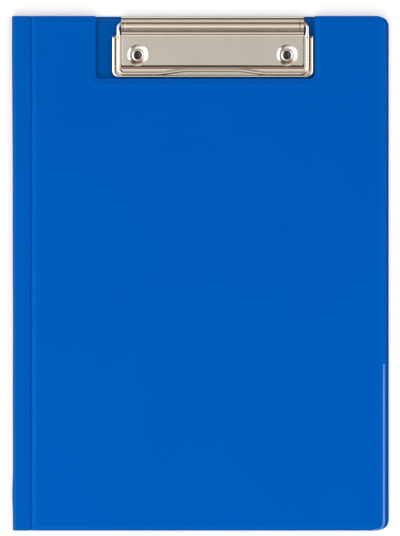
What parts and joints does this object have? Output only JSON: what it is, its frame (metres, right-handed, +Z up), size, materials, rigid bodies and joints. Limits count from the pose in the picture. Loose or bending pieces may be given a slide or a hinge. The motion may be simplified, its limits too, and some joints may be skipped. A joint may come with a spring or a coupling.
{
  "type": "clipboard folder",
  "caption": "A4 clipboard folder: film-covered back and notched cover joined by a soft folded spine, with a sprung wire clip riveted to the back.",
  "frame": {"origin": "middle of the closed folder's outline, on the surface that it lies on", "axes": "+X to the right, away from the spine; +Y to the edge with the clip; +Z up, out of the front cover"},
  "size_m": [0.232, 0.318, 0.0082],
  "materials": {
    "blue_film": "smooth PVC film with a soft gloss",
    "clear_film": "clear PVC film",
    "greyboard": "uncoated greyboard",
    "nickel_plate": "bright nickel plate on pressed sheet",
    "nickel_wire": "bright nickel plate on drawn wire"
  },
  "bodies": {
    "back_panel": {"back_outer_film": "blue_film", "back_board": "greyboard", "back_inner_film": "blue_film", "clip_base_plate": "nickel_plate", "clip_rivet_left": "nickel_plate", "clip_rivet_right": "nickel_plate"},
    "spine_lower": {"spine_lower_outer_film": "blue_film", "spine_lower_inner_film": "blue_film"},
    "spine_fold": {"spine_fold_outer_film": "blue_film", "spine_fold_inner_film": "blue_film"},
    "front_cover": {"spine_upper_outer_film": "blue_film", "spine_upper_inner_film": "blue_film", "cover_outer_film": "blue_film", "cover_board": "greyboard", "cover_inner_film": "blue_film", "cover_pocket": "clear_film"},
    "clip_jaw": {"bail_wire": "nickel_wire", "jaw_channel": "nickel_plate"}
  },
  "joints": [
    {"name": "back_crease", "type": "hinge", "parent": "back_panel", "child": "spine_lower", "pos_m": [-0.102, 0, -0.00015], "axis": [0, -1, 0], "range_deg": [0, 180]},
    {"name": "spine_fold_lower", "type": "hinge", "parent": "spine_lower", "child": "spine_fold", "pos_m": [-0.11547, 0, 0.00093], "axis": [0, -1, 0], "range_deg": [0, 90]},
    {"name": "spine_fold_upper", "type": "hinge", "parent": "spine_fold", "child": "front_cover", "pos_m": [-0.11547, 0, 0.00477], "axis": [0, -1, 0], "range_deg": [0, 90]},
    {"name": "clip_jaw_hinge", "type": "hinge", "parent": "back_panel", "child": "clip_jaw", "pos_m": [0.00755, 0.1542, 0.00535], "axis": [-1, 0, 0], "range_deg": [0, 100], "stiffness_Nm_per_rad": 0.25, "springref_deg": -34.38}
  ],
  "couplings": [
    {"joint": "spine_fold_upper", "follows": "spine_fold_lower", "ratio": 1}
  ]
}
